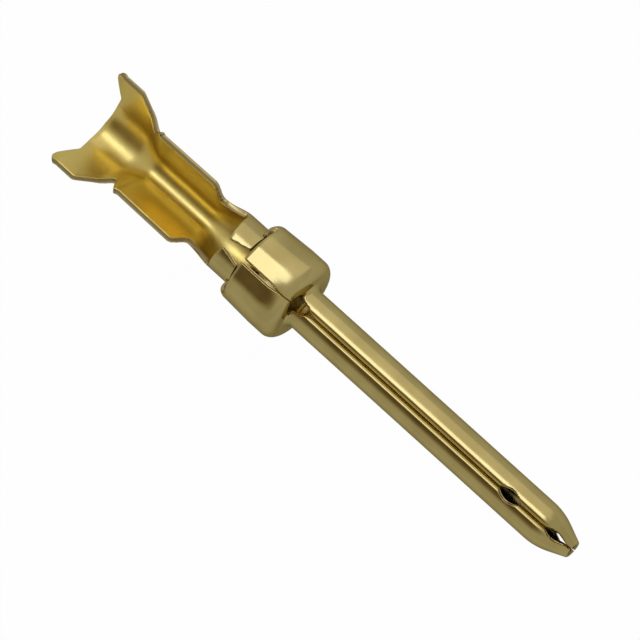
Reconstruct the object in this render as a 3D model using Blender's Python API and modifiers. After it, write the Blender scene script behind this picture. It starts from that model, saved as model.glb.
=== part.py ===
"""Crimp pin contact, stamped and formed from one sheet of gold plated brass.

Half of the flat blank is cut to its outline and marked out in rows along the
contact and columns across it. Each row is then bent to its own section, from
the open troughs at the rear to the rolled pin at the front. The half is
mirrored and given its sheet thickness. Sizes are in millimetres, and places
along the contact are measured from the front of the collar.
"""

import math

import bmesh
import bpy
from mathutils import Vector

MM = 0.001

# Sheet
SHEET = 0.14
SEAM_GAP = 0.024
SEAM_SLOPE_WIDTH = 0.09
SEAM_SLOPE_LEFT = 0.36
EDGE_BREAK = 0.007

# Pin, of the standard size 20 diameter
PIN_DIAMETER = 1.02
PIN_LENGTH = 8.19
TIP_LENGTH = 1.02
TIP_CONE_DEG = 23.0
TIP_END_DIAMETER = 0.40
TIP_NOTCH_LENGTH = 0.74
TIP_NOTCH_DEPTH = 0.075
TIP_SLOT_LENGTH = 0.64
TIP_SLOT_DEG = 13.0
HOLE_LENGTH = 0.62
HOLE_DEPTH = 0.11
HOLE_TO_TIP = 1.46

# Collar that stops the contact in its housing
COLLAR_LENGTH = 1.68
COLLAR_FRONT_DIAMETER = 2.13
COLLAR_REAR_DIAMETER = 2.05
COLLAR_FRONT_ROUND = 0.32
COLLAR_REAR_ROUND = 0.18
COLLAR_FOOT_FILLET = 0.14
COLLAR_REAR_FILLET = 0.03
FLAP_DEG = 26.0
FLAP_TILT_DEG = 15.0
MOUTH_HALF_WIDTH = 0.28
MOUTH_ON_PIN = 0.30

# Neck, with two flaps that nearly meet
NECK_DIAMETER = 1.51
NECK_FLAP_LENGTH = 0.63
NECK_FLAP_SLANT = 0.12
NECK_TONGUE = 0.14
NECK_OPEN_REAR = 0.11
NECK_OPEN_FRONT = 0.22
LOW_WALL_LENGTH = 0.69
LOW_WALL_HEIGHT = 0.66

# Wire barrel
WIRE_TOP_LENGTH = 1.77
WIRE_HEIGHT = 1.14
WIRE_FLOOR_RADIUS = 0.33
WIRE_FLOOR_DROP = 0.46
WIRE_WALL_DEG = 64.5
WIRE_FRONT_SLANT = 0.17
WIRE_REAR_SLANT = 0.30

# Insulation barrel with its two splayed ears
RAMP_LENGTH = 0.46
NOTCH_HEIGHT = 0.56
EAR_FRONT_SLANT = 0.56
EAR_TOP_LENGTH = 0.80
EAR_FLOOR_LENGTH = 1.27
EAR_HEIGHT = 1.33
EAR_FLOOR_RADIUS = 0.64
EAR_FLOOR_DROP = 0.62
EAR_WALL_DEG = 58.5
EAR_REAR_HOLLOW = 0.14
FLARE_LENGTH = 0.14
FLARE_DROP = 0.03
FLARE_DEG = 1.5

# Flat along the floor, and where a section changes from one stretch to the next
FLAT_DEG = 6.0
FLOOR_DEG = 64.0
SIDE_DEG = 105.0
COLUMN_SHARE = (0.0, 0.05, 0.38, 0.58, 0.80, 0.94, 1.0)
COLUMN_CUTS = (1, 5, 3, 4, 2, 1)
BEND_STEPS = 3

GOLD = (0.78, 0.60, 0.28, 1.0)


def ring_row(x, radius, flat):
    """Closed ring of this inner radius, its flaps flattened near the seam."""
    start = math.radians(FLAT_DEG)
    flap = math.pi - math.radians(FLAP_DEG)
    marks = [start, math.radians(FLOOR_DEG), math.radians(SIDE_DEG), flap]
    turns = [0.0] + [high - low for low, high in zip(marks, marks[1:])]
    lengths = [radius * math.sin(start)] + [radius * turn for turn in turns[1:]]
    fold = flat * math.radians(FLAP_DEG - FLAP_TILT_DEG)
    bend = (1.0 - flat) * (math.radians(FLAP_DEG) - math.asin(0.5 * SEAM_GAP / radius))
    reach = radius * math.sin(flap) - 0.5 * SEAM_GAP
    rest = reach / (-chord(bend) * math.cos(flap + fold + 0.5 * bend))
    slope = min(SEAM_SLOPE_WIDTH, 0.5 * rest)
    lengths += [rest - slope, slope]
    turns += [bend * (rest - slope) / rest, bend * slope / rest]
    folds = [0.0, start, 0.0, 0.0, fold, 0.0]
    return {"x": x, "floor": -radius * math.cos(start), "lengths": lengths,
            "turns": turns, "folds": folds}


def trough_row(x, drop, radius, wall_deg, height):
    """Open trough with a round floor and two straight walls."""
    start = math.radians(FLAT_DEG)
    turn = math.radians(wall_deg)
    wall = (height - radius * (math.cos(start) - math.cos(turn))) / math.sin(turn)
    lengths = [radius * math.sin(start), radius * (turn - start)]
    for low, high in zip(COLUMN_SHARE[2:], COLUMN_SHARE[3:]):
        lengths.append(wall * (high - low) / (1.0 - COLUMN_SHARE[2]))
    turns = [0.0, turn - start, 0.0, 0.0, 0.0, 0.0]
    folds = [0.0, start, 0.0, 0.0, 0.0, 0.0]
    return {"x": x, "floor": -drop, "lengths": lengths, "turns": turns, "folds": folds}


def chord(turn):
    """Straight reach of an arc for each unit of its length."""
    return math.sin(0.5 * turn) / (0.5 * turn) if abs(turn) > 1e-7 else 1.0


def blend_row(first, last, share, x=None):
    """Row part of the way from one row to another."""
    def mix(a, b):
        return a + (b - a) * share
    row = {key: [mix(a, b) for a, b in zip(first[key], last[key])]
           for key in ("lengths", "turns", "folds")}
    row["x"] = mix(first["x"], last["x"]) if x is None else x
    row["floor"] = mix(first["floor"], last["floor"])
    return row


def ease(share):
    """Smooth step from 0 to 1."""
    return share * share * (3.0 - 2.0 * share)


def corner(x, radius, bend_radius, start_deg, end_deg, steps):
    """Points of a rounded corner, given where its two straight sides meet."""
    start = math.radians(start_deg)
    end = math.radians(end_deg)
    side = math.copysign(bend_radius, end - start)
    setback = bend_radius * math.tan(0.5 * abs(end - start))
    mid_x = x - setback * math.cos(start) - side * math.sin(start)
    mid_r = radius - setback * math.sin(start) + side * math.cos(start)
    angles = [start + (end - start) * step / steps for step in range(steps + 1)]
    return [(mid_x + side * math.sin(a), mid_r - side * math.cos(a)) for a in angles]


def tip_points(steps):
    """Inside of the tip: a rounding and then a cone, worked in from the outside."""
    cone = math.radians(TIP_CONE_DEG)
    outer = 0.5 * PIN_DIAMETER
    end = 0.5 * TIP_END_DIAMETER
    rise = math.tan(cone)
    rounding = (TIP_LENGTH * rise - outer + end) / (rise - math.tan(0.5 * cone))
    radius = rounding / math.sin(cone) - SHEET
    start = PIN_LENGTH - TIP_LENGTH
    points = []
    for step in range(steps + 1):
        angle = cone * step / steps
        points.append((start + radius * math.sin(angle),
                       outer - SHEET - radius * (1.0 - math.cos(angle))))
    near = Vector(points[-1])
    far = Vector((PIN_LENGTH - SHEET * math.sin(cone), end - SHEET * math.cos(cone)))
    points += [tuple(near.lerp(far, step / steps)) for step in range(1, steps + 1)]
    return points


def make_rows():
    """Rows from the rear edge to the tip, and the named places among them."""
    rows = []
    place = {}

    def add(row, name=None):
        row["u"] = 0.0
        if rows:
            last = rows[-1]
            row["u"] = last["u"] + math.hypot(row["x"] - last["x"], row["floor"] - last["floor"])
        rows.append(row)
        if name:
            place[name] = row["u"]

    neck_x = -COLLAR_LENGTH - NECK_FLAP_LENGTH
    wire_front = neck_x - LOW_WALL_LENGTH - WIRE_FRONT_SLANT
    wire_rear = wire_front - WIRE_TOP_LENGTH
    notch_x = wire_rear - WIRE_REAR_SLANT
    floor_rear = notch_x - EAR_FLOOR_LENGTH
    ramp_rear = notch_x - 0.42 * RAMP_LENGTH

    # Insulation barrel, flared where the wire comes in
    ears = trough_row(0.0, EAR_FLOOR_DROP, EAR_FLOOR_RADIUS, EAR_WALL_DEG, EAR_HEIGHT)
    flare = trough_row(0.0, EAR_FLOOR_DROP + FLARE_DROP, EAR_FLOOR_RADIUS,
                       EAR_WALL_DEG - FLARE_DEG, EAR_HEIGHT)
    for back in (2.0, 1.0, 0.0):
        x = floor_rear + FLARE_LENGTH * (1.0 - back)
        add(blend_row(ears, flare, back, x), {1.0: "floor rear"}.get(back))
    for share in (0.33, 0.66, 1.0):
        add(blend_row(ears, ears, 0.0, x + (ramp_rear - x) * share))
    # Ramp up to the wire barrel
    wire = trough_row(0.0, WIRE_FLOOR_DROP, WIRE_FLOOR_RADIUS, WIRE_WALL_DEG, WIRE_HEIGHT)
    for share in (0.25, 0.5, 0.75, 1.0):
        add(blend_row(ears, wire, ease(share), ramp_rear + RAMP_LENGTH * share))
    x = rows[-1]["x"]
    for share in (0.33, 0.66, 1.0):
        add(blend_row(wire, wire, 0.0, x + (wire_front - x) * share))
    # The walls turn in to the ring of the neck
    neck_r = 0.5 * NECK_DIAMETER - SHEET
    neck = ring_row(0.0, neck_r, 0.0)
    for share in (0.2, 0.4, 0.6, 0.8, 1.0):
        add(blend_row(wire, neck, ease(share), wire_front + (neck_x - wire_front) * share))
    # Step out to the collar
    step_x = SHEET - COLLAR_LENGTH
    rear_r = 0.5 * COLLAR_REAR_DIAMETER - SHEET
    foot = corner(step_x, neck_r, COLLAR_REAR_FILLET + SHEET, 0.0, 90.0, BEND_STEPS)
    brow = corner(step_x, rear_r, COLLAR_REAR_ROUND - SHEET, 90.0, 0.0, BEND_STEPS)
    for index, (x, radius) in enumerate(foot):
        add(ring_row(x, radius, 0.0), {0: "neck front"}.get(index))
    for index, (x, radius) in enumerate(brow):
        add(ring_row(x, radius, 1.0), {BEND_STEPS: "collar rear"}.get(index))
    # Collar, its rounded front and the fillet down to the pin
    front_r = 0.5 * COLLAR_FRONT_DIAMETER - SHEET
    pin_r = 0.5 * PIN_DIAMETER - SHEET
    steps = BEND_STEPS + 1
    dome = corner(-SHEET, front_r, COLLAR_FRONT_ROUND - SHEET, 0.0, -90.0, steps)
    foot = corner(-SHEET, pin_r, COLLAR_FOOT_FILLET + SHEET, -90.0, 0.0, steps)
    rear_x = brow[-1][0]
    flat_end = dome[0][0] - 0.7 * SHEET
    for share in (0.5, 1.0):
        add(ring_row(rear_x + (flat_end - rear_x) * share,
                     rear_r + (front_r - rear_r) * share, 1.0))
    for index, (x, radius) in enumerate(dome):
        add(ring_row(x, radius, 0.6 * (1.0 - index / steps)), "dome %d" % index)
    for index, (x, radius) in enumerate(foot):
        add(ring_row(x, radius, 0.0), "foot %d" % index)
    # Pin, with the rows that its seam needs
    x = foot[-1][0]
    hole_x = PIN_LENGTH - HOLE_TO_TIP - HOLE_LENGTH
    mouth_x = x + MOUTH_ON_PIN
    add(ring_row(0.5 * (x + mouth_x), pin_r, 0.0), "mouth mid")
    add(ring_row(mouth_x, pin_r, 0.0), "mouth end")
    for share in (0.33, 0.66):
        add(ring_row(mouth_x + (hole_x - mouth_x) * share, pin_r, 0.0))
    for index in range(5):
        add(ring_row(hole_x + HOLE_LENGTH * index / 4, pin_r, 0.0), "hole %d" % index)
    for x, radius in tip_points(BEND_STEPS):
        add(ring_row(x, radius, 0.0))
    place["tip"] = rows[-1]["u"]
    return rows, place


def row_at(rows, key, value):
    """Row where this key has this value, with its place along the blank."""
    for low, high in zip(rows, rows[1:]):
        if low[key] <= value <= high[key]:
            break
    share = (value - low[key]) / (high[key] - low[key])
    row = blend_row(low, high, share)
    row["u"] = low["u"] + (high["u"] - low["u"]) * share
    return row


def bend(row, v):
    """Sideways place and height of a blank point once its row is bent."""
    y = 0.0
    z = row["floor"]
    heading = 0.0
    for index, (low, high) in enumerate(zip(COLUMN_SHARE, COLUMN_SHARE[1:])):
        part = min((v - low) / (high - low), 1.0)
        if part <= 0.0:
            break
        heading += row["folds"][index]
        turn = row["turns"][index] * part
        reach = row["lengths"][index] * part * chord(turn)
        y += reach * math.cos(heading + 0.5 * turn)
        z += reach * math.sin(heading + 0.5 * turn)
        heading += turn
    return y, z


def climb(row, height):
    """Column share that lies this high above the floor of a trough."""
    low = 0.0
    high = 1.0
    for _ in range(24):
        middle = 0.5 * (low + high)
        if bend(row, middle)[1] - row["floor"] < height:
            low = middle
        else:
            high = middle
    return high


def inset(row, distance):
    """Column share that lies this far in from the edge of the blank."""
    for index in range(5, -1, -1):
        low, high = COLUMN_SHARE[index:index + 2]
        length = row["lengths"][index]
        if distance <= length:
            return high - (high - low) * distance / length
        distance -= length
    return 0.0


def make_outline(rows, place):
    """Outline of half the blank: up the rear, forward along the edge and back."""
    neck_x = -COLLAR_LENGTH - NECK_FLAP_LENGTH
    low_x = neck_x - LOW_WALL_LENGTH
    wire_front = low_x - WIRE_FRONT_SLANT
    wire_rear = wire_front - WIRE_TOP_LENGTH
    notch_x = wire_rear - WIRE_REAR_SLANT
    ear_front = notch_x - EAR_FRONT_SLANT
    ear_rear = ear_front - EAR_TOP_LENGTH
    floor_rear = notch_x - EAR_FLOOR_LENGTH
    slot_v = COLUMN_SHARE[1] + (COLUMN_SHARE[2] - COLUMN_SHARE[1]) * (
        (TIP_SLOT_DEG - FLAT_DEG) / (FLOOR_DEG - FLAT_DEG))
    side_v = COLUMN_SHARE[3]

    def high(x, height):
        row = row_at(rows, "x", x)
        return (row["u"], climb(row, height))

    def edge(u, distance):
        return (u, inset(row_at(rows, "u", u), distance))

    return [
        # Rear edge, hollow between the floor and the tip of the ear
        (place["floor rear"], 0.0),
        high(floor_rear + 0.2 * EAR_REAR_HOLLOW, 0.15 * EAR_HEIGHT),
        high(floor_rear + EAR_REAR_HOLLOW, 0.45 * EAR_HEIGHT),
        high(ear_rear, 0.82 * EAR_HEIGHT),
        high(ear_rear, 0.92 * EAR_HEIGHT),
        high(ear_rear + 0.12, EAR_HEIGHT),
        # Top of the ear, and its slanted front edge down to the notch
        high(ear_front - 0.03, EAR_HEIGHT),
        high(ear_front + 0.03, 0.96 * EAR_HEIGHT),
        high(notch_x - 0.04, NOTCH_HEIGHT),
        # Wire barrel wall
        high(notch_x + 0.01, NOTCH_HEIGHT),
        high(wire_rear - 0.01, 0.95 * WIRE_HEIGHT),
        high(wire_rear + 0.05, WIRE_HEIGHT),
        high(wire_front - 0.03, WIRE_HEIGHT),
        high(wire_front + 0.03, 0.95 * WIRE_HEIGHT),
        # Low wall, then up the rear edge of the neck flap
        high(low_x - 0.02, 1.10 * LOW_WALL_HEIGHT),
        high(low_x + 0.06, LOW_WALL_HEIGHT),
        high(neck_x - 0.08, LOW_WALL_HEIGHT),
        high(neck_x, 1.12 * LOW_WALL_HEIGHT),
        edge(row_at(rows, "x", neck_x + NECK_FLAP_SLANT)["u"], NECK_OPEN_REAR + 0.05),
        edge(row_at(rows, "x", neck_x + NECK_FLAP_SLANT + 0.04)["u"], NECK_OPEN_REAR),
        # Tongue of the neck flap, and the slit that parts it from the collar
        (place["neck front"] + NECK_TONGUE, inset(row_at(rows, "u", place["neck front"]),
                                                  NECK_OPEN_FRONT)),
        (place["neck front"] + NECK_TONGUE, side_v + 0.07),
        (place["neck front"], side_v + 0.06),
        (place["neck front"], side_v),
        (place["collar rear"], side_v),
        (place["collar rear"] + 0.02, side_v + 0.02),
        # Collar seam, and the mouth where collar and pin meet
        edge(place["collar rear"] + 0.02, 0.0),
        edge(place["dome 3"], 0.0),
        edge(place["foot 0"], 0.5 * MOUTH_HALF_WIDTH),
        edge(place["foot 1"], MOUTH_HALF_WIDTH),
        edge(place["foot 3"], 0.55 * MOUTH_HALF_WIDTH),
        edge(place["mouth mid"], 0.16 * MOUTH_HALF_WIDTH),
        edge(place["mouth end"], 0.0),
        # Half of the hole in the seam of the pin
        edge(place["hole 0"], 0.0),
        edge(place["hole 1"], 0.6 * HOLE_DEPTH),
        edge(place["hole 2"], HOLE_DEPTH),
        edge(place["hole 3"], 0.6 * HOLE_DEPTH),
        edge(place["hole 4"], 0.0),
        # Notch on top of the tip, and the slot beneath it
        edge(place["tip"] - TIP_NOTCH_LENGTH, 0.0),
        edge(place["tip"] - 0.66 * TIP_NOTCH_LENGTH, TIP_NOTCH_DEPTH),
        edge(place["tip"], 0.008),
        (place["tip"], slot_v),
        (place["tip"] - 0.75 * TIP_SLOT_LENGTH, slot_v),
        (place["tip"] - TIP_SLOT_LENGTH, 0.0),
    ]


def cut_across(bm, places, normal):
    """Mark the blank with a line at each place."""
    for value in places:
        bmesh.ops.bisect_plane(bm, geom=bm.verts[:] + bm.edges[:] + bm.faces[:], dist=1e-6,
                               plane_co=normal * value, plane_no=normal)


def bend_point(rows, place, u, v):
    """Where a blank point goes. The tongue of the neck flap runs straight on."""
    neck_u = place["neck front"]
    if neck_u < u < neck_u + NECK_TONGUE + 0.01 and v > COLUMN_SHARE[3] + 0.05:
        row = row_at(rows, "u", neck_u)
        return (row["x"] + u - neck_u,) + bend(row, v)
    row = row_at(rows, "u", u)
    return (row["x"],) + bend(row, v)


def sheet_share(place, u, v):
    """Share of the sheet's thickness, which slopes off along the pin's seam."""
    seam = max(0.0, (v - COLUMN_SHARE[5]) / (1.0 - COLUMN_SHARE[5]))
    return 1.0 - (1.0 - SEAM_SLOPE_LEFT) * seam if u > place["foot 4"] else 1.0


def make_half():
    """Half of the blank, cut to its outline, marked out and bent."""
    rows, place = make_rows()
    bm = bmesh.new()
    bm.faces.new([bm.verts.new((u, v, 0.0)) for u, v in make_outline(rows, place)])
    cut_across(bm, [row["u"] for row in rows[1:-1]], Vector((1.0, 0.0, 0.0)))
    columns = []
    for index, count in enumerate(COLUMN_CUTS):
        low, high = COLUMN_SHARE[index:index + 2]
        columns += [low + (high - low) * step / count for step in range(count)]
    cut_across(bm, columns[1:], Vector((0.0, 1.0, 0.0)))
    weights = bm.verts.layers.deform.verify()
    for vert in bm.verts:
        u, v = vert.co.xy
        vert[weights][0] = sheet_share(place, u, v)
        vert.co = Vector(bend_point(rows, place, u, v)) * MM
    bmesh.ops.dissolve_degenerate(bm, dist=1.8 * EDGE_BREAK * MM, edges=bm.edges)
    return bm


def make_gold():
    """Gold plate."""
    gold = bpy.data.materials.new("gold_plate")
    gold.use_nodes = True
    shader = gold.node_tree.nodes["Principled BSDF"]
    shader.inputs["Base Color"].default_value = GOLD
    shader.inputs["Metallic"].default_value = 1.0
    shader.inputs["Roughness"].default_value = 0.25
    return gold


def rest(contact):
    """Lay the contact down as it comes to rest: on the collar and the pin."""
    flat = math.cos(math.radians(FLAT_DEG))
    drop = 0.5 * (COLLAR_FRONT_DIAMETER - PIN_DIAMETER) * flat
    span = PIN_LENGTH - TIP_LENGTH + COLLAR_FRONT_ROUND
    contact.rotation_euler = (0.0, math.atan(drop / span), 0.0)
    bpy.context.view_layer.update()
    seen = contact.evaluated_get(bpy.context.evaluated_depsgraph_get())
    points = [seen.matrix_world @ vert.co for vert in seen.data.vertices]
    ends = [point.x for point in points]
    contact.location = (-0.5 * (min(ends) + max(ends)), 0.0, -min(point.z for point in points))


def make_contact():
    """The whole contact: two halves, sheet thickness and broken edges."""
    bm = make_half()
    mesh = bpy.data.meshes.new("crimp_pin_contact")
    bm.to_mesh(mesh)
    bm.free()
    mesh.shade_smooth()
    mesh.materials.append(make_gold())
    contact = bpy.data.objects.new("crimp_pin_contact", mesh)
    contact.vertex_groups.new(name="sheet_share")
    family = bpy.data.collections.new("crimp_pin_contact")
    bpy.context.scene.collection.children.link(family)
    family.objects.link(contact)

    mirror = contact.modifiers.new("Two halves", "MIRROR")
    mirror.use_axis = (False, True, False)
    mirror.merge_threshold = 1e-6
    sheet = contact.modifiers.new("Sheet thickness", "SOLIDIFY")
    sheet.thickness = SHEET * MM
    sheet.offset = 1.0
    sheet.use_even_offset = True
    sheet.vertex_group = "sheet_share"
    edges = contact.modifiers.new("Broken edges", "BEVEL")
    edges.width = EDGE_BREAK * MM
    edges.segments = 1
    edges.limit_method = "ANGLE"
    edges.angle_limit = math.radians(62.0)
    return contact


for item in list(bpy.data.objects):
    bpy.data.objects.remove(item, do_unlink=True)
rest(make_contact())
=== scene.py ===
"""Dressed crimp pin contact, its floor, its lights and its camera.

The contact is made from its blank again, as the plain part is, but finer: its
corners are rounded, its edges are broken and its undersides are truly round.
Lengths are in millimetres until the piece is laid in the row's frame.
"""

import math

import bmesh
import bpy
from mathutils import Matrix, Vector


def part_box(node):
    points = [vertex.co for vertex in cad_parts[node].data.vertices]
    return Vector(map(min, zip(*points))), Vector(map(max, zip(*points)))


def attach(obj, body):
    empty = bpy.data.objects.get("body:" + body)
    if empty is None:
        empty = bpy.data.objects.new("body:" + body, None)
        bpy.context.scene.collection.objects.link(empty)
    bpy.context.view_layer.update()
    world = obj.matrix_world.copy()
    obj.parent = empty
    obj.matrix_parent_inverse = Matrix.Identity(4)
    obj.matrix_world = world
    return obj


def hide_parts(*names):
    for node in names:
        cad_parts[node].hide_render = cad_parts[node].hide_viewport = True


MM = 0.001
NODE = "crimp_pin_contact"

# The sizes below are the part's, a little closer to the photograph. Sheet and seam
SHEET = 0.14
SEAM_GAP = 0.015
COLLAR_SEAM_GAP = 0.045
SEAM_SLOPE_WIDTH = 0.09
PIN_SLOPE_WIDTH = 0.115
PIN_TURN_DEG = 2.0
SEAM_SLOPE_LEFT = 0.36
SEAM_SLOPE_RUN_OUT = 0.34

# Pin
PIN_DIAMETER = 1.02
PIN_LENGTH = 8.245
TIP_LENGTH = 1.02
TIP_CONE_DEG = 23.0
TIP_END_DIAMETER = 0.42
TIP_NOTCH_LENGTH = 0.74
TIP_NOTCH_DEPTH = 0.075
TIP_SLOT_LENGTH = 0.64
TIP_SLOT_DEG = 13.0
TIP_SLOT_END_DEG = 3.0
TIP_WIDEST = 0.42
TIP_CLOSED = 0.12
TIP_CLOSED_INSETS = (0.002, 0.004)
HOLE_LENGTH = 0.62
HOLE_DEPTH = 0.11
HOLE_TO_TIP = 1.46
HOLE_FULLNESS = 0.8

# Collar
COLLAR_LENGTH = 1.625
COLLAR_FRONT_DIAMETER = 2.13
COLLAR_REAR_DIAMETER = 2.05
COLLAR_FRONT_ROUND = 0.26
COLLAR_REAR_ROUND = 0.18
COLLAR_FOOT_FILLET = 0.14
COLLAR_REAR_FILLET = 0.03
FLAP_DEG = 26.0
FLAP_TILT_DEG = 15.0
FLAP_END = 0.64
FLAP_SAG = 0.06
MOUTH_HALF_WIDTH = 0.28
MOUTH_ON_PIN = 0.40

# Neck and low walls
NECK_DIAMETER = 1.51
NECK_FLAP_LENGTH = 0.57
NECK_FLAP_SLANT = 0.12
NECK_TONGUE = 0.14
SLIT_END = 0.61
SLIT_SHARE = 0.03
NECK_OPEN_REAR = 0.085
NECK_OPEN_FRONT = 0.20
LOW_WALL_LENGTH = 0.75
LOW_WALL_HEIGHT = 0.73

# Trough for the wire
WIRE_TOP_LENGTH = 1.84
WIRE_HEIGHT = 1.14
WIRE_FLOOR_RADIUS = 0.33
WIRE_FLOOR_DROP = 0.46
WIRE_WALL_DEG = 64.5
WIRE_FRONT_SLANT = 0.17
WIRE_REAR_SLANT = 0.23

# Ramp, notch and ears for the insulation
RAMP_LENGTH = 0.72
RAMP_REAR_SHARE = 0.38
NOTCH_HEIGHT = 0.66
EAR_FRONT_SLANT = 0.56
EAR_TOP_LENGTH = 0.80
EAR_FLOOR_LENGTH = 1.27
EAR_HEIGHT = 1.33
EAR_FLOOR_RADIUS = 0.64
EAR_FLOOR_DROP = 0.62
EAR_WALL_DEG = 58.5
EAR_REAR_FOOT = 0.04
EAR_REAR_HOLLOW = 0.14
FLARE_LENGTH = 0.14
FLARE_DROP = 0.03
FLARE_DEG = 1.5

# Corners of ears and walls: how far they are cut back, and the shares of its height at
# which the edge of an ear or a wall turns
CORNER_CUT = 0.03
EAR_REAR_SHARES = (0.15, 0.45, 0.82, 0.92)
EAR_FRONT_SHARE = 0.96
WIRE_REAR_SHARE = 0.92
WIRE_FRONT_SHARE = 0.95
LOW_REAR_SETBACK = 0.02
LOW_REAR_SHARE = 1.10
LOW_FRONT_SHARE = 1.12

# Columns of the sheet, from the middle of its floor to its edge, and the angles that
# the first four reach round a closed ring
COLUMN_SHARE = (0.0, 0.05, 0.38, 0.58, 0.80, 0.94, 1.0)
FLAT_DEG = 6.0
FLOOR_DEG = 64.0
SIDE_DEG = 105.0

# How finely the dressed piece is marked out
COLUMN_CUTS = (2, 13, 8, 8, 5, 6)
ROW_STEP = 0.12
BEND_STEPS = 9
DOME_STEPS = 12
FLARE_STEPS = 6
HOLE_STEPS = 12
ROW_NUDGE = 0.02
TONGUE_MARGIN = 0.01
CORNER_RADIUS = 0.035
CORNER_STEPS = 4
SHORTEST_EDGE = 0.0015
HALVINGS = 24

# Half of the blank is drawn this wide, so that its corners round evenly
BLANK_WIDTH = 2.4

# Broken edges: the widths of two narrow rims, how far the edge is worked down, and the
# shares of that between the rims and on the inner face
RIM_WIDTHS = (0.010, 0.014)
RIM_ROUND = 0.026
RIM_MIDDLE = 0.28
RIM_INSIDE = 0.7

# Where the camera was
VIEW_TILT_DEG = 14.0
VIEW_ROLL_DEG = 7.5
VIEW_DISTANCE = 130.0
PIXELS_PER_MM = 45.5
AIM_X = 3.32
AIM_PIXEL = (409.9, 403.1)
AXIS_IMAGE_DEG = 42.08
PICTURE = 640.0
CLIP_START = 5.0
CLIP_END = 10000.0

# Lamps. A face turned this far about the contact, from facing the camera, mirrors its lamp
LAMP_DISTANCE = 300.0
KEY_LAMP = {"turn_deg": 10.5, "width": 114.0, "length": 190.0, "level": 1.45,
            "colour": (0.90, 0.96, 1.25)}
SIDE_LAMP = {"turn_deg": 30.5, "width": 310.0, "length": 200.0, "level": 0.26,
             "colour": (1.0, 0.96, 0.98)}

# Colours of the room, from its walls to the middle of the dark stretch of its ceiling
ROOM = ((0.0, (0.43, 0.415, 0.40, 1.0)), (0.45, (0.30, 0.27, 0.22, 1.0)),
        (0.80, (0.14, 0.105, 0.06, 1.0)), (1.0, (0.09, 0.06, 0.03, 1.0)))
ROOM_DARK_TURN_DEG = -18.0
ROOM_DARK_SPREAD_DEG = 36.0

# How much of its white the floor shows to the camera and to the metal, over its own grey
FLOOR_HALF_WIDTH = 300.0
FLOOR_GREY = (0.62, 0.62, 0.62, 1.0)
FLOOR_TO_CAMERA = 0.985
FLOOR_TO_METAL = 0.24

# Plating: darker and lighter tint, how much hazier it is, and how strong its marks are
OUTER_GOLD = ((0.60, 0.49, 0.185, 1.0), (0.70, 0.575, 0.225, 1.0), 0.0, 0.35)
# Inner gold: a lighter, more saturated copy of the plating, a painted glow of the light that the
# trough's walls throw on each other
INNER_GOLD_PAINTED_GLOW = ((0.93, 0.735, 0.21, 1.0), (0.98, 0.785, 0.25, 1.0), 0.13, 0.35)
EDGE_GOLD = ((0.66, 0.51, 0.22, 1.0), (0.78, 0.61, 0.28, 1.0), 0.10, 1.0)
GOLD_RIM_TINT = (0.55, 0.52, 0.42, 1.0)
MARK_DEPTH = 0.004
ROLLED_LINES_SCALE = (0.55, 26.0, 1.0)
ROLLED_LINES_SHARE = 0.45
GRAIN_SCALE = 7.0
CLOUD_SCALE = 1.3
CLOUD_FOR_HAZE = (0.3, 0.7)
CLOUD_FOR_TINT = (0.34, 0.66)
ROUGHNESS = (0.15, 0.24)

# Inner radii that follow from these sizes
PIN_INSIDE = 0.5 * PIN_DIAMETER - SHEET
FRONT_INSIDE = 0.5 * COLLAR_FRONT_DIAMETER - SHEET
REAR_INSIDE = 0.5 * COLLAR_REAR_DIAMETER - SHEET
NECK_INSIDE = 0.5 * NECK_DIAMETER - SHEET

# Places along the contact that follow from them too, from the collar's front back
NECK_X = -COLLAR_LENGTH - NECK_FLAP_LENGTH
LOW_X = NECK_X - LOW_WALL_LENGTH
WIRE_FRONT = LOW_X - WIRE_FRONT_SLANT
WIRE_REAR = WIRE_FRONT - WIRE_TOP_LENGTH
NOTCH_X = WIRE_REAR - WIRE_REAR_SLANT
EAR_FRONT = NOTCH_X - EAR_FRONT_SLANT
EAR_REAR = EAR_FRONT - EAR_TOP_LENGTH
FLOOR_REAR = NOTCH_X - EAR_FLOOR_LENGTH


def clamp(value):
    """Value held between 0 and 1."""
    return min(1.0, max(0.0, value))


def chord(turn):
    """Straight reach of an arc for each unit of its length."""
    return math.sin(0.5 * turn) / (0.5 * turn) if abs(turn) > 1e-7 else 1.0


def ring_row(x, radius, flat, sag=0.0):
    """Closed ring of this inner radius, its flaps flattened near the seam."""
    start = math.radians(FLAT_DEG)
    flap = math.pi - math.radians(FLAP_DEG)
    marks = [0.0, start, math.radians(FLOOR_DEG), math.radians(SIDE_DEG), flap]
    turns = [high - low for low, high in zip(marks, marks[1:])]
    lengths = [radius * turn for turn in turns]
    fold = flat * math.radians(FLAP_DEG - FLAP_TILT_DEG)
    bend = (1.0 - flat) * (math.radians(FLAP_DEG) - math.asin(0.5 * SEAM_GAP / radius))
    gap = SEAM_GAP + flat * (COLLAR_SEAM_GAP - SEAM_GAP)
    reach = radius * math.sin(flap) - 0.5 * gap
    rest = reach / (-chord(bend) * math.cos(flap + fold + 0.5 * bend))
    on_pin = clamp(x / MOUTH_ON_PIN) * clamp(PIN_LENGTH - TIP_LENGTH - x)
    slope = min(SEAM_SLOPE_WIDTH + (PIN_SLOPE_WIDTH - SEAM_SLOPE_WIDTH) * on_pin, 0.5 * rest)
    lengths += [rest - slope, slope]
    turns += [bend * (rest - slope) / rest, bend * slope / rest]
    folds = [0.0, 0.0, 0.0, 0.0, fold, 0.0]
    return {"x": x, "floor": -radius, "lengths": lengths, "turns": turns, "folds": folds,
            "sag": sag}


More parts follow.
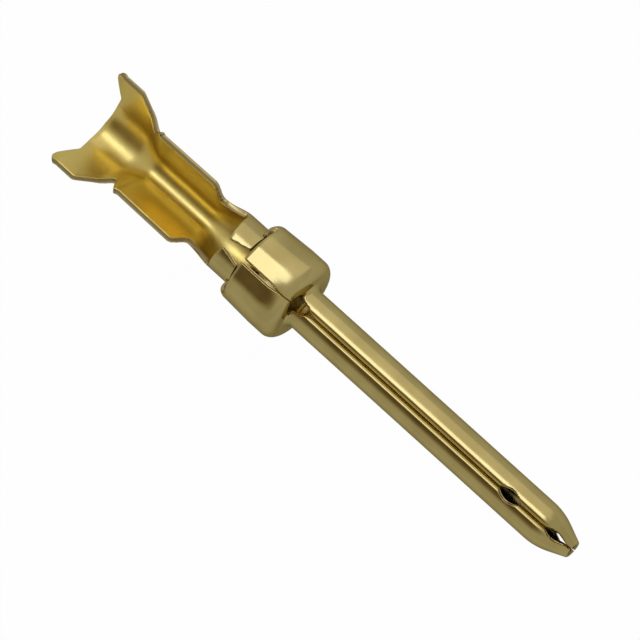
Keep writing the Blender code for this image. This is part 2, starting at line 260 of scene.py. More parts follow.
def trough_row(drop, radius, wall_deg, height):
    """Open trough with a round floor and two straight walls."""
    start = math.radians(FLAT_DEG)
    turn = math.radians(wall_deg)
    wall = (height - radius * (1.0 - math.cos(turn))) / math.sin(turn)
    lengths = [radius * start, radius * (turn - start)]
    for low, high in zip(COLUMN_SHARE[2:], COLUMN_SHARE[3:]):
        lengths.append(wall * (high - low) / (1.0 - COLUMN_SHARE[2]))
    turns = [start, turn - start, 0.0, 0.0, 0.0, 0.0]
    return {"x": 0.0, "floor": -drop, "lengths": lengths, "turns": turns,
            "folds": [0.0] * len(turns), "sag": 0.0}


def blend_row(first, last, share, x=None):
    """Row part of the way from one row to another."""
    def mix(a, b):
        return a + (b - a) * share
    row = {key: [mix(a, b) for a, b in zip(first[key], last[key])]
           for key in ("lengths", "turns", "folds")}
    row["x"] = mix(first["x"], last["x"]) if x is None else x
    row["floor"] = mix(first["floor"], last["floor"])
    row["sag"] = mix(first["sag"], last["sag"])
    return row


def ease(share):
    """Smooth step from 0 to 1."""
    return share * share * (3.0 - 2.0 * share)


def corner(x, radius, bend_radius, start_deg, end_deg, steps):
    """Points of a rounded corner, given where its two straight sides meet."""
    start = math.radians(start_deg)
    end = math.radians(end_deg)
    side = math.copysign(bend_radius, end - start)
    setback = bend_radius * math.tan(0.5 * abs(end - start))
    mid_x = x - setback * math.cos(start) - side * math.sin(start)
    mid_r = radius - setback * math.sin(start) + side * math.cos(start)
    angles = [start + (end - start) * step / steps for step in range(steps + 1)]
    return [(mid_x + side * math.sin(a), mid_r - side * math.cos(a)) for a in angles]


def tip_points(steps):
    """Inside of the tip: a rounding and then a cone, worked in from the outside."""
    cone = math.radians(TIP_CONE_DEG)
    outer = 0.5 * PIN_DIAMETER
    end = 0.5 * TIP_END_DIAMETER
    rise = math.tan(cone)
    rounding = (TIP_LENGTH * rise - outer + end) / (rise - math.tan(0.5 * cone))
    radius = rounding / math.sin(cone) - SHEET
    start = PIN_LENGTH - TIP_LENGTH
    points = []
    for step in range(steps + 1):
        angle = cone * step / steps
        points.append((start + radius * math.sin(angle),
                       outer - SHEET - radius * (1.0 - math.cos(angle))))
    near = Vector(points[-1])
    far = Vector((PIN_LENGTH - SHEET * math.sin(cone), end - SHEET * math.cos(cone)))
    points += [tuple(near.lerp(far, step / steps)) for step in range(1, steps + 1)]
    return points


class Sheet:
    """The sheet as rows from its rear edge to its tip, with named places along it."""

    def __init__(self):
        self.rows = []
        self.place = {}

    def add(self, row, name=None):
        """Add a row as far on as the sheet is long between it and the last one."""
        row["u"] = 0.0
        if self.rows:
            last = self.rows[-1]
            row["u"] = last["u"] + math.hypot(row["x"] - last["x"], row["floor"] - last["floor"])
        self.rows.append(row)
        if name:
            self.place[name] = row["u"]

    def run(self, first, last, start, end):
        """Add evenly changing rows between two places."""
        count = max(1, math.ceil((end - start) / ROW_STEP))
        for step in range(1, count + 1):
            x = start + (end - start) * step / count
            self.add(blend_row(first, last, step / count, x))

    def turn_to(self, first, last, start, end):
        """Add rows that change smoothly from one section to another."""
        count = max(4, math.ceil((end - start) / (0.5 * ROW_STEP)))
        for step in range(1, count + 1):
            share = step / count
            self.add(blend_row(first, last, ease(share), start + (end - start) * share))

    def row_at(self, key, value):
        """Row where this key has this value, with its place along the sheet."""
        for low, high in zip(self.rows, self.rows[1:]):
            if low[key] <= value <= high[key]:
                break
        share = (value - low[key]) / (high[key] - low[key])
        row = blend_row(low, high, share)
        row["u"] = low["u"] + (high["u"] - low["u"]) * share
        return row


def add_barrels(sheet):
    """Ears, ramp, wire trough, and the walls that turn in to the ring of the neck."""
    ramp_rear = NOTCH_X - RAMP_REAR_SHARE * RAMP_LENGTH
    ears = trough_row(EAR_FLOOR_DROP, EAR_FLOOR_RADIUS, EAR_WALL_DEG, EAR_HEIGHT)
    flare = trough_row(EAR_FLOOR_DROP + FLARE_DROP, EAR_FLOOR_RADIUS,
                       EAR_WALL_DEG - FLARE_DEG, EAR_HEIGHT)
    wire = trough_row(WIRE_FLOOR_DROP, WIRE_FLOOR_RADIUS, WIRE_WALL_DEG, WIRE_HEIGHT)
    for step in range(2 * FLARE_STEPS + 1):
        back = 2.0 - step / FLARE_STEPS
        x = FLOOR_REAR + FLARE_LENGTH * (1.0 - back)
        sheet.add(blend_row(ears, flare, back, x), {FLARE_STEPS: "floor rear"}.get(step))
    sheet.run(ears, ears, x, ramp_rear)
    sheet.turn_to(ears, wire, ramp_rear, ramp_rear + RAMP_LENGTH)
    sheet.run(wire, wire, ramp_rear + RAMP_LENGTH, WIRE_FRONT)
    sheet.turn_to(wire, ring_row(0.0, NECK_INSIDE, 0.0), WIRE_FRONT, NECK_X)


def add_neck(sheet):
    """Ring of the neck and the step out to the collar."""
    step_x = SHEET - COLLAR_LENGTH
    neck = ring_row(0.0, NECK_INSIDE, 0.0)
    foot = corner(step_x, NECK_INSIDE, COLLAR_REAR_FILLET + SHEET, 0.0, 90.0, BEND_STEPS)
    brow = corner(step_x, REAR_INSIDE, COLLAR_REAR_ROUND - SHEET, 90.0, 0.0, BEND_STEPS)
    sheet.run(neck, neck, NECK_X, foot[0][0])
    sheet.place["neck front"] = sheet.rows[-1]["u"]
    for x, radius in foot[1:]:
        sheet.add(ring_row(x, radius, 0.0))
    for x, radius in brow:
        sheet.add(ring_row(x, radius, 1.0))
    sheet.place["collar rear"] = sheet.rows[-1]["u"]


def add_collar(sheet):
    """Collar with its flat flaps, its rounded front and the fillet down to the pin."""
    rear_x = sheet.rows[-1]["x"]
    dome = corner(-SHEET, FRONT_INSIDE, COLLAR_FRONT_ROUND - SHEET, 0.0, -90.0, DOME_STEPS)
    foot = corner(-SHEET, PIN_INSIDE, COLLAR_FOOT_FILLET + SHEET, -90.0, 0.0, DOME_STEPS)
    fade = dome[0][0] + FLAP_END
    sheet.run(ring_row(0.0, REAR_INSIDE, 1.0), ring_row(0.0, FRONT_INSIDE, 1.0), rear_x, -FLAP_END)
    for step in range(1, BEND_STEPS):
        share = step / BEND_STEPS
        sheet.add(ring_row(fade * share - FLAP_END, FRONT_INSIDE, 1.0 - ease(share),
                           FLAP_SAG * share ** 2))
    for index, (x, radius) in enumerate(dome):
        sag = FLAP_SAG * ((x + FLAP_END) / fade) ** 2
        sheet.add(ring_row(x, radius, 0.0, sag), "dome %d" % index)
    for index, (x, radius) in enumerate(foot):
        left = 1.0 - ease(index / DOME_STEPS)
        sheet.add(ring_row(x, radius, 0.0, sag * left), "foot %d" % index)
    sheet.place["pin rear"] = sheet.rows[-1]["u"]


def add_pin(sheet):
    """Pin, the rows that its hole needs, and its tip."""
    rear_x = sheet.rows[-1]["x"]
    hole_x = PIN_LENGTH - HOLE_TO_TIP - HOLE_LENGTH
    pin = ring_row(0.0, PIN_INSIDE, 0.0)
    sheet.run(pin, pin, rear_x, rear_x + MOUTH_ON_PIN)
    sheet.place["mouth end"] = sheet.rows[-1]["u"]
    sheet.run(pin, pin, rear_x + MOUTH_ON_PIN, hole_x)
    for index in range(HOLE_STEPS + 1):
        x = hole_x + HOLE_LENGTH * (index + ROW_NUDGE) / HOLE_STEPS
        sheet.add(ring_row(x, PIN_INSIDE, 0.0), "hole %d" % index)
    for x, radius in tip_points(BEND_STEPS):
        sheet.add(ring_row(x, radius, 0.0))
    sheet.place["tip"] = sheet.rows[-1]["u"]


def bend(row, v):
    """Sideways place and height of a blank point once its row is bent."""
    y = 0.0
    z = row["floor"]
    heading = 0.0
    for index, (low, high) in enumerate(zip(COLUMN_SHARE, COLUMN_SHARE[1:])):
        part = min((abs(v) - low) / (high - low), 1.0)
        if part <= 0.0:
            break
        heading += row["folds"][index]
        turn = row["turns"][index] * part
        reach = row["lengths"][index] * part * chord(turn)
        y += reach * math.cos(heading + 0.5 * turn)
        z += reach * math.sin(heading + 0.5 * turn)
        heading += turn
    if z > 0.0:
        z -= row["sag"] * (z / row["floor"]) ** 2
    return math.copysign(y, v), z


def girth(row, v):
    """Length of sheet between the middle of the floor and this column."""
    length = 0.0
    for index, (low, high) in enumerate(zip(COLUMN_SHARE, COLUMN_SHARE[1:])):
        length += row["lengths"][index] * clamp((abs(v) - low) / (high - low))
    return math.copysign(length, v)


def climb(row, height):
    """Column share that lies this high above the floor of a trough."""
    low = 0.0
    high = 1.0
    for _ in range(HALVINGS):
        middle = 0.5 * (low + high)
        if bend(row, middle)[1] - row["floor"] < height:
            low = middle
        else:
            high = middle
    return high


def inset(row, distance):
    """Column share that lies this far in from the edge of the blank."""
    for index in reversed(range(len(row["lengths"]))):
        low, high = COLUMN_SHARE[index:index + 2]
        length = row["lengths"][index]
        if distance <= length:
            return high - (high - low) * distance / length
        distance -= length
    return 0.0


def make_outline(sheet):
    """Outline of half the blank, each corner with its rounding as so many corner radii."""
    slot_v = COLUMN_SHARE[1] + (COLUMN_SHARE[2] - COLUMN_SHARE[1]) * (
        (TIP_SLOT_DEG - FLAT_DEG) / (FLOOR_DEG - FLAT_DEG))
    slot_end_v = COLUMN_SHARE[1] * TIP_SLOT_END_DEG / FLAT_DEG
    place = sheet.place
    flap_rear = sheet.row_at("x", NECK_X + NECK_FLAP_SLANT)["u"]
    flap_turn = sheet.row_at("x", NECK_X + NECK_FLAP_SLANT + CORNER_CUT)["u"]
    flap_front = place["neck front"] + NECK_TONGUE
    flap_front_v = inset(sheet.row_at("u", place["neck front"]), NECK_OPEN_FRONT)

    def high(x, height, rounded=1.0):
        row = sheet.row_at("x", x)
        return (row["u"], climb(row, height), rounded)

    def edge(u, distance, rounded=1.0):
        return (u, inset(sheet.row_at("u", u), distance), rounded)

    def hole(index):
        share = math.sin(math.pi * index / HOLE_STEPS)
        return edge(place["hole %d" % index], HOLE_DEPTH * share ** HOLE_FULLNESS, 0.0)

    return [
        (place["floor rear"], 0.0, 0.0),
        high(FLOOR_REAR + EAR_REAR_FOOT, EAR_REAR_SHARES[0] * EAR_HEIGHT, 2.0),
        high(FLOOR_REAR + EAR_REAR_HOLLOW, EAR_REAR_SHARES[1] * EAR_HEIGHT, 2.0),
        high(EAR_REAR, EAR_REAR_SHARES[2] * EAR_HEIGHT),
        high(EAR_REAR, EAR_REAR_SHARES[3] * EAR_HEIGHT),
        high(EAR_REAR + 4.0 * CORNER_CUT, EAR_HEIGHT),
        high(EAR_FRONT - CORNER_CUT, EAR_HEIGHT),
        high(EAR_FRONT + CORNER_CUT, EAR_FRONT_SHARE * EAR_HEIGHT),
        high(NOTCH_X - 2.0 * CORNER_CUT, NOTCH_HEIGHT, 0.6),
        high(NOTCH_X + CORNER_CUT, NOTCH_HEIGHT, 0.6),
        high(WIRE_REAR, WIRE_REAR_SHARE * WIRE_HEIGHT),
        high(WIRE_REAR + 2.0 * CORNER_CUT, WIRE_HEIGHT),
        high(WIRE_FRONT - CORNER_CUT, WIRE_HEIGHT),
        high(WIRE_FRONT + CORNER_CUT, WIRE_FRONT_SHARE * WIRE_HEIGHT),
        high(LOW_X - LOW_REAR_SETBACK, LOW_REAR_SHARE * LOW_WALL_HEIGHT, 2.0),
        high(LOW_X + 2.0 * CORNER_CUT, LOW_WALL_HEIGHT),
        high(NECK_X - 2.5 * CORNER_CUT, LOW_WALL_HEIGHT),
        high(NECK_X, LOW_FRONT_SHARE * LOW_WALL_HEIGHT),
        edge(flap_rear, NECK_OPEN_REAR + 1.5 * CORNER_CUT),
        edge(flap_turn, NECK_OPEN_REAR),
        (flap_front, flap_front_v, 1.0),
        (flap_front, SLIT_END + 2.0 * SLIT_SHARE, 0.5),
        (place["neck front"] + CORNER_CUT, SLIT_END + SLIT_SHARE, 0.0),
        (place["collar rear"], SLIT_END, 0.0),
        (place["collar rear"] + CORNER_CUT, SLIT_END + 0.7 * SLIT_SHARE, 0.5),
        edge(place["collar rear"] + CORNER_CUT, 0.0),
        edge(place["dome %d" % (DOME_STEPS - 2)], 0.0),
        edge(place["dome %d" % DOME_STEPS], 0.5 * MOUTH_HALF_WIDTH),
        edge(place["foot %d" % (DOME_STEPS // 2)], MOUTH_HALF_WIDTH, 1.5),
        edge(place["foot %d" % (DOME_STEPS - 2)], 0.5 * MOUTH_HALF_WIDTH),
        edge(0.5 * (place["pin rear"] + place["mouth end"]), 0.16 * MOUTH_HALF_WIDTH),
        edge(place["mouth end"], 0.0, 0.0),
    ] + [hole(index) for index in range(HOLE_STEPS + 1)] + [
        edge(place["tip"] - TIP_NOTCH_LENGTH, 0.0, 0.0),
        edge(place["tip"] - TIP_WIDEST, TIP_NOTCH_DEPTH, 2.0),
        edge(place["tip"] - TIP_CLOSED, TIP_CLOSED_INSETS[0], 0.0),
        edge(place["tip"], TIP_CLOSED_INSETS[1], 0.0),
        (place["tip"], slot_end_v, 0.0),
        (place["tip"] - TIP_CLOSED, slot_end_v, 0.0),
        (place["tip"] - TIP_WIDEST, slot_v, 1.0),
        (place["tip"] - TIP_SLOT_LENGTH, 0.0, 0.0),
    ]


def make_blank(outline):
    """Flat blank of both halves, with rounded corners and a narrow rim all round."""
    bm = bmesh.new()
    rounding = bm.verts.layers.float.new("rounding")
    points = outline + [(u, -v, r) for u, v, r in outline[-2:0:-1]]
    verts = []
    for u, v, rounded in points:
        vert = bm.verts.new((u, v * BLANK_WIDTH, 0.0))
        vert[rounding] = rounded
        verts.append(vert)
    bm.faces.new(verts)
    for size in sorted({rounded for _, _, rounded in outline if rounded}):
        chosen = [vert for vert in bm.verts if abs(vert[rounding] - size) < 1e-6]
        done = bmesh.ops.bevel(bm, geom=chosen, offset=CORNER_RADIUS * size, offset_type="OFFSET",
                               segments=CORNER_STEPS, profile=0.5, affect="VERTICES",
                               clamp_overlap=True, material=-1)
        for vert in done["verts"]:
            vert[rounding] = 0.0
    depth = bm.verts.layers.float.new("rim")
    for vert in bm.verts:
        vert[depth] = 1.0
    face = max(bm.faces, key=lambda item: item.calc_area())
    for width in RIM_WIDTHS:
        bmesh.ops.inset_region(bm, faces=[face], thickness=width, use_even_offset=True,
                               use_boundary=True)
    edge_verts = {vert for vert in bm.verts if vert.is_boundary}
    inner = set(face.verts)
    for vert in bm.verts:
        vert[depth] = 1.0 if vert in edge_verts else 0.0 if vert in inner else RIM_MIDDLE
    return bm, depth


def cut_across(bm, places, normal):
    """Mark the blank with a line at each place."""
    for value in places:
        bmesh.ops.bisect_plane(bm, geom=bm.verts[:] + bm.edges[:] + bm.faces[:], dist=1e-5,
                               plane_co=normal * value, plane_no=normal)


def thickness_share(place, u, v):
    """Share of the sheet's thickness, which slopes off along the pin's seam."""
    if u < place["pin rear"]:
        return 1.0
    seam = max(0.0, (abs(v) - COLUMN_SHARE[5]) / (1.0 - COLUMN_SHARE[5]))
    left = min(1.0, (place["tip"] - u) / SEAM_SLOPE_RUN_OUT)
    return 1.0 - (1.0 - SEAM_SLOPE_LEFT) * seam ** 2 * left


def mark_out(bm, rows):
    """Mark the blank with every line along which it is bent."""
    cut_across(bm, [row["u"] for row in rows[1:-1]], Vector((1.0, 0.0, 0.0)))
    columns = [0.0]
    for index, count in enumerate(COLUMN_CUTS):
        low, high = COLUMN_SHARE[index:index + 2]
        for step in range(count):
            value = (low + (high - low) * step / count) * BLANK_WIDTH
            columns += [value, -value] if value else []
    cut_across(bm, columns, Vector((0.0, 1.0, 0.0)))


def bend_sheet(bm, sheet):
    """Bend the blank, and keep how thick it is and where it lay when it was flat."""
    thick = bm.verts.layers.float.new("thick")
    along = bm.verts.layers.float.new("along")
    across = bm.verts.layers.float.new("across")
    neck_u = sheet.place["neck front"]
    neck_row = sheet.row_at("u", neck_u)
    tongue_end = neck_u + NECK_TONGUE + TONGUE_MARGIN
    for vert in bm.verts:
        u = vert.co.x
        v = vert.co.y / BLANK_WIDTH
        tongue = neck_u < u < tongue_end and abs(v) > SLIT_END + 0.5 * SLIT_SHARE
        row = neck_row if tongue else sheet.row_at("u", u)
        x = neck_row["x"] + u - neck_u if tongue else row["x"]
        vert[thick] = thickness_share(sheet.place, u, v)
        vert[along] = u
        vert[across] = girth(row, v)
        y, z = bend(row, v)
        turn = math.radians(PIN_TURN_DEG) * ease(clamp(x / MOUTH_ON_PIN))
        vert.co = Vector((x, y * math.cos(turn) + z * math.sin(turn),
                          z * math.cos(turn) - y * math.sin(turn)))
    bmesh.ops.dissolve_degenerate(bm, dist=SHORTEST_EDGE, edges=bm.edges)
    return thick, along, across


def thicken(bm, thick, depth):
    """Give the sheet its thickness, less towards its rim, where the edges are broken."""
    bm.normal_update()
    facing = bm.verts.layers.float_vector.new("facing")
    for vert in bm.verts:
        vert[facing] = vert.normal
    side = bm.faces.layers.float.new("inside")
    inside = bm.faces[:]
    grown = bmesh.ops.extrude_face_region(bm, geom=inside, use_keep_orig=True)
    outside = {item for item in grown["geom"] if isinstance(item, bmesh.types.BMVert)}
    bmesh.ops.reverse_faces(bm, faces=inside)
    for face in inside:
        face[side] = 1.0
    for vert in bm.verts:
        rim = RIM_ROUND * vert[depth] * vert[thick]
        reach = SHEET * vert[thick] - rim if vert in outside else RIM_INSIDE * rim
        vert.co += Vector(vert[facing]) * reach
    return side


def make_contact():
    """The dressed contact, in its own axes and in millimetres."""
    sheet = Sheet()
    add_barrels(sheet)
    add_neck(sheet)
    add_collar(sheet)
    add_pin(sheet)
    bm, depth = make_blank(make_outline(sheet))
    mark_out(bm, sheet.rows)
    thick, along, across = bend_sheet(bm, sheet)
    side = thicken(bm, thick, depth)
    print("dressed faces", len(bm.faces), "open edges",
          sum(1 for item in bm.edges if len(item.link_faces) != 2))
    return bm, along, across, depth, side


def node(tree, kind, place, **values):
    """New shader node, with its settings."""
    made = tree.nodes.new(kind)
    made.location = place
    for name, value in values.items():
        setattr(made, name, value)
    return made


def colour_socket(sockets, name):
    """The colour socket of this name, on a node that has others of the name."""
    return next(item for item in sockets if item.name == name and item.type == "RGBA")


def spread(group, place, source, limits):
    """Node that spreads the values between two limits over 0 to 1."""
    made = node(group, "ShaderNodeMapRange", place)
    made.inputs["From Min"].default_value, made.inputs["From Max"].default_value = limits
    group.links.new(source, made.inputs["Value"])
    return made


def noise(group, place, vector, scale, detail, roughness):
    """Noise that lies on the sheet."""
    made = node(group, "ShaderNodeTexNoise", place)
    made.inputs["Scale"].default_value = scale
    made.inputs["Detail"].default_value = detail
    made.inputs["Roughness"].default_value = roughness
    group.links.new(vector, made.inputs["Vector"])
    return made.outputs["Fac"]


def plating_group():
    """Node group for the plating: marks of the rolled sheet, grain, haze and tint."""
    group = bpy.data.node_groups.new("plating", "ShaderNodeTree")
    face = group.interface
    face.new_socket("Darker Tint", in_out="INPUT", socket_type="NodeSocketColor")
    face.new_socket("Lighter Tint", in_out="INPUT", socket_type="NodeSocketColor")
    face.new_socket("Haze", in_out="INPUT", socket_type="NodeSocketFloat")
    face.new_socket("Base Color", in_out="OUTPUT", socket_type="NodeSocketColor")
    face.new_socket("Roughness", in_out="OUTPUT", socket_type="NodeSocketFloat")
    face.new_socket("Bump Height", in_out="OUTPUT", socket_type="NodeSocketFloat")
    given = node(group, "NodeGroupInput", (-500, -600))
    out = node(group, "NodeGroupOutput", (900, 0))
    link = group.links.new

    # The map lies flat on the sheet, one unit to the millimetre
    flat = node(group, "ShaderNodeUVMap", (-900, 0), uv_map="sheet").outputs["UV"]
    drawn = node(group, "ShaderNodeMapping", (-700, 150))
    drawn.inputs["Scale"].default_value = ROLLED_LINES_SCALE
    link(flat, drawn.inputs["Vector"])
    lines = noise(group, (-500, 150), drawn.outputs["Vector"], 1.0, 4.0, 0.6)
    grain = noise(group, (-500, -100), flat, GRAIN_SCALE, 5.0, 0.55)
    cloud = noise(group, (-500, -350), flat, CLOUD_SCALE, 3.0, 0.5)

    height = node(group, "ShaderNodeMath", (-100, 150), operation="MULTIPLY_ADD")
    height.inputs[1].default_value = ROLLED_LINES_SHARE
    link(lines, height.inputs[0])
    link(grain, height.inputs[2])
    link(height.outputs["Value"], out.inputs["Bump Height"])

    rough = spread(group, (-100, -100), cloud, CLOUD_FOR_HAZE)
    rough.inputs["To Min"].default_value, rough.inputs["To Max"].default_value = ROUGHNESS
    hazy = node(group, "ShaderNodeMath", (200, -100), operation="ADD")
    link(rough.outputs["Result"], hazy.inputs[0])
    link(given.outputs["Haze"], hazy.inputs[1])
    link(hazy.outputs["Value"], out.inputs["Roughness"])

    share = spread(group, (-100, -350), cloud, CLOUD_FOR_TINT)
    tint = node(group, "ShaderNodeMix", (200, -350), data_type="RGBA")
    link(share.outputs["Result"], tint.inputs["Factor"])
    link(given.outputs["Darker Tint"], colour_socket(tint.inputs, "A"))
    link(given.outputs["Lighter Tint"], colour_socket(tint.inputs, "B"))
    link(colour_socket(tint.outputs, "Result"), out.inputs["Base Color"])
    return group


def make_gold(name, plating, darker, lighter, haze, strength):
    """One gold material: the plating, its cut edges, or the lighter copy that paints in glow on
    the insides.
    """
    gold = bpy.data.materials.new(name)
    gold.use_nodes = True
    tree = gold.node_tree
    shader = tree.nodes["Principled BSDF"]
    shader.inputs["Metallic"].default_value = 1.0
    shader.inputs["Specular Tint"].default_value = GOLD_RIM_TINT
    marks = node(tree, "ShaderNodeGroup", (-600, 0), node_tree=plating)
    marks.inputs["Darker Tint"].default_value = darker
    marks.inputs["Lighter Tint"].default_value = lighter
    marks.inputs["Haze"].default_value = haze
    raised = node(tree, "ShaderNodeBump", (-250, -250))
    raised.inputs["Strength"].default_value = strength
    raised.inputs["Distance"].default_value = MARK_DEPTH * MM
    tree.links.new(marks.outputs["Base Color"], shader.inputs["Base Color"])
    tree.links.new(marks.outputs["Roughness"], shader.inputs["Roughness"])
    tree.links.new(marks.outputs["Bump Height"], raised.inputs["Height"])
    tree.links.new(raised.outputs["Normal"], shader.inputs["Normal"])
    return gold


def tilt_matrix():
    """The contact lies on its collar and its pin, so its tip points down a little."""
    drop = 0.5 * (COLLAR_FRONT_DIAMETER - PIN_DIAMETER)
    span = PIN_LENGTH - TIP_LENGTH + COLLAR_FRONT_ROUND
    return Matrix.Rotation(math.atan(drop / span), 3, "Y")


def lay_contact():
    """Put the dressed contact where the plain part lies."""
    bm, along, across, depth, side = make_contact()
    low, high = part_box(NODE)
    tilt = tilt_matrix()
    for vert in bm.verts:
        vert.co = tilt @ vert.co * MM
    shift = Vector((high[0] - max(vert.co.x for vert in bm.verts), 0.0,
                    low[2] - min(vert.co.z for vert in bm.verts)))
    for vert in bm.verts:
        vert.co += shift
    sheet_map = bm.loops.layers.uv.new("sheet")
    open_end = (tilt @ Vector((-COLLAR_LENGTH, 0.0, 0.0))).x * MM + shift.x
    for face in bm.faces:
        face.smooth = True
        for loop in face.loops:
            loop[sheet_map].uv = (loop.vert[along], loop.vert[across])
        # Cut edges take their own gold. Inner faces behind the collar's open end take the lighter
        # gold, a painted glow of bounced light; inside the collar and pin the darker outer gold
        # stays, as painted shade in the closed hollow.
        if all(loop.vert[depth] > 0.9 for loop in face.loops):
            face.material_index = 2
        elif face[side] > 0.5 and face.calc_center_median().x < open_end:
            face.material_index = 1
    mesh = bpy.data.meshes.new("contact")
    bm.to_mesh(mesh)
    bm.free()
    plating = plating_group()
    mesh.materials.append(make_gold("gold_plate", plating, *OUTER_GOLD))
    mesh.materials.append(make_gold("gold_inside_painted_glow", plating, *INNER_GOLD_PAINTED_GLOW))
    mesh.materials.append(make_gold("gold_cut_edge", plating, *EDGE_GOLD))
    contact = bpy.data.objects.new("contact", mesh)
    bpy.context.scene.collection.objects.link(contact)
    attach(contact, "root")
    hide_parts(NODE)
    return shift


def make_floor():
    """Matt floor, white to the camera and in part to the metal, with a faint shadow."""
    bm = bmesh.new()
    bmesh.ops.create_grid(bm, x_segments=1, y_segments=1, size=FLOOR_HALF_WIDTH * MM)
    mesh = bpy.data.meshes.new("floor")
    bm.to_mesh(mesh)
    bm.free()
    white = bpy.data.materials.new("floor_white")
    white.use_nodes = True
    tree = white.node_tree
    tree.nodes.clear()
    out = node(tree, "ShaderNodeOutputMaterial", (600, 0))
    mix = node(tree, "ShaderNodeMixShader", (400, 0))
    matt = node(tree, "ShaderNodeBsdfDiffuse", (100, -100))
    matt.inputs["Color"].default_value = FLOOR_GREY
    glow = node(tree, "ShaderNodeEmission", (100, -250))
    glow.inputs["Strength"].default_value = 1.0
    path = node(tree, "ShaderNodeLightPath", (-400, 200))
    seen = node(tree, "ShaderNodeMath", (-150, 200), operation="MAXIMUM")
    share = node(tree, "ShaderNodeMath", (0, 200), operation="MULTIPLY")
    share.inputs[1].default_value = FLOOR_TO_CAMERA
    part = node(tree, "ShaderNodeMath", (150, 200), operation="MULTIPLY_ADD")
    part.inputs[1].default_value = FLOOR_TO_METAL
    tree.links.new(path.outputs["Is Camera Ray"], seen.inputs[0])
    tree.links.new(path.outputs["Is Transmission Ray"], seen.inputs[1])
    tree.links.new(seen.outputs["Value"], share.inputs[0])
    tree.links.new(path.outputs["Is Glossy Ray"], part.inputs[0])
    tree.links.new(share.outputs["Value"], part.inputs[2])
    tree.links.new(part.outputs["Value"], mix.inputs["Fac"])
    tree.links.new(matt.outputs["BSDF"], mix.inputs[1])
    tree.links.new(glow.outputs["Emission"], mix.inputs[2])
    tree.links.new(mix.outputs["Shader"], out.inputs["Surface"])
    mesh.materials.append(white)
    floor = bpy.data.objects.new("floor", mesh)
    bpy.context.scene.collection.objects.link(floor)


def view_axes():
    """Directions in the row's frame: to the camera, along the contact and across it."""
    tilt = math.radians(VIEW_TILT_DEG)
    roll = math.radians(VIEW_ROLL_DEG)
    toward = Vector((math.sin(tilt), math.cos(tilt) * math.sin(roll),
                     math.cos(tilt) * math.cos(roll)))
    along = (Vector((1.0, 0.0, 0.0)) - toward * toward.x).normalized()
    turn = tilt_matrix()
    toward = turn @ toward
    along = turn @ along
    return toward, along, toward.cross(along)


def make_camera(shift):
    """Camera that sees the contact as the photograph does."""
    toward, along, across = view_axes()
    angle = math.radians(AXIS_IMAGE_DEG)
    right = along * math.cos(angle) + across * math.sin(angle)
    up = across * math.cos(angle) - along * math.sin(angle)
    aim = tilt_matrix() @ Vector((AIM_X, 0.0, 0.0)) * MM + shift
    centre = (aim - right * ((AIM_PIXEL[0] - 0.5 * PICTURE) / PIXELS_PER_MM * MM)
              + up * ((AIM_PIXEL[1] - 0.5 * PICTURE) / PIXELS_PER_MM * MM))
    place = aim + toward * (VIEW_DISTANCE * MM)
    back = (place - centre).normalized()
    right = (right - back * right.dot(back)).normalized()
    up = back.cross(right)
    data = bpy.data.cameras.new("camera")
    data.lens = data.sensor_width * VIEW_DISTANCE * PIXELS_PER_MM / PICTURE
    data.clip_start = CLIP_START * MM
    data.clip_end = CLIP_END * MM
    camera = bpy.data.objects.new("camera", data)
    camera.matrix_world = Matrix((
        (right.x, up.x, back.x, place.x),
        (right.y, up.y, back.y, place.y),
        (right.z, up.z, back.z, place.z),
        (0.0, 0.0, 0.0, 1.0)))
    bpy.context.scene.collection.objects.link(camera)
    bpy.context.scene.camera = camera


def softbox(name, turn_deg, width, length, level, colour):
    """Soft rectangular lamp, its long side along the contact."""
    data = bpy.data.lights.new(name, "AREA")
    data.shape = "RECTANGLE"
    data.size = width * MM
    data.size_y = length * MM
    data.energy = level * math.pi * data.size * data.size_y
    data.color = colour
    lamp = bpy.data.objects.new(name, data)
    back = mirrored(turn_deg).normalized()
    _, along, _ = view_axes()
    along = (along - back * along.dot(back)).normalized()
    side = along.cross(back)
    place = back * LAMP_DISTANCE * MM
    lamp.matrix_world = Matrix((
        (side.x, along.x, back.x, place.x),
        (side.y, along.y, back.y, place.y),
        (side.z, along.z, back.z, place.z),
        (0.0, 0.0, 0.0, 1.0)))
    bpy.context.scene.collection.objects.link(lamp)


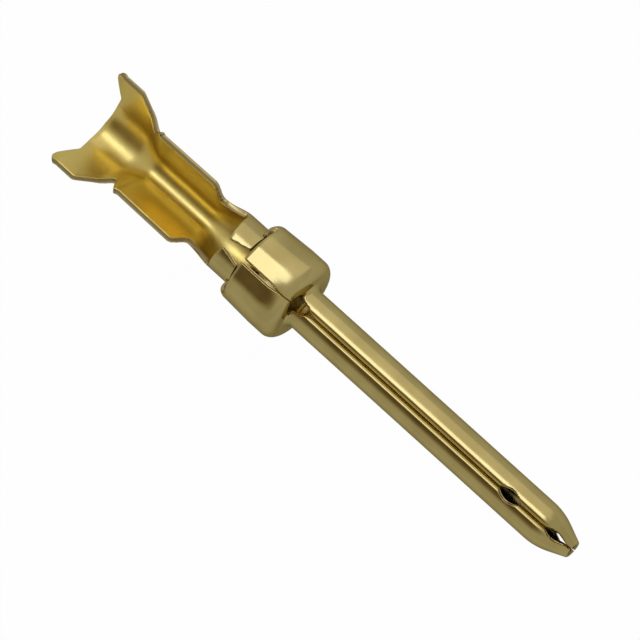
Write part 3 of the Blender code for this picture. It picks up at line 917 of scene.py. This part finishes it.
def mirrored(turn_deg):
    """What a face turned so far about the contact, from facing the camera, shows it."""
    toward, _, across = view_axes()
    axis = tilt_matrix() @ Vector((1.0, 0.0, 0.0))
    upright = (toward - axis * toward.dot(axis)).normalized()
    turn = math.radians(turn_deg)
    normal = upright * math.cos(turn) + across * math.sin(turn)
    return normal * (2.0 * normal.dot(toward)) - toward


def make_room():
    """Grey room with a darker stretch of ceiling."""
    room = bpy.data.worlds.new("room")
    bpy.context.scene.world = room
    room.use_nodes = True
    tree = room.node_tree
    where = node(tree, "ShaderNodeTexCoord", (-900, 0))
    near = node(tree, "ShaderNodeVectorMath", (-700, 0), operation="DOT_PRODUCT")
    near.inputs[1].default_value = mirrored(ROOM_DARK_TURN_DEG)
    share = node(tree, "ShaderNodeMapRange", (-500, 0))
    share.inputs["From Min"].default_value = math.cos(math.radians(ROOM_DARK_SPREAD_DEG))
    share.inputs["From Max"].default_value = 1.0
    shade = node(tree, "ShaderNodeValToRGB", (-300, 0))
    shade.color_ramp.interpolation = "EASE"
    for place, colour in ROOM[1:-1]:
        shade.color_ramp.elements.new(place).color = colour
    shade.color_ramp.elements[0].color = ROOM[0][1]
    shade.color_ramp.elements[-1].color = ROOM[-1][1]
    tree.links.new(where.outputs["Generated"], near.inputs[0])
    tree.links.new(near.outputs["Value"], share.inputs["Value"])
    tree.links.new(share.outputs["Result"], shade.inputs["Fac"])
    tree.links.new(shade.outputs["Color"], tree.nodes["Background"].inputs["Color"])


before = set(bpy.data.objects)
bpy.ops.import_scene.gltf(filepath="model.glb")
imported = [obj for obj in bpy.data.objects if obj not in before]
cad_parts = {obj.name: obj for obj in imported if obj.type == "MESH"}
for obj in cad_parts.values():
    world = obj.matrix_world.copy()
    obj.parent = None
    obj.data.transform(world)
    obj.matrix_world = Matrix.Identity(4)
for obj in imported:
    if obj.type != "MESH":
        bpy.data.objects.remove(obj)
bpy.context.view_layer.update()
bpy.context.scene.view_settings.view_transform = "Standard"
make_floor()
laid = lay_contact()
make_camera(laid)
softbox("key", **KEY_LAMP)
softbox("side", **SIDE_LAMP)
make_room()
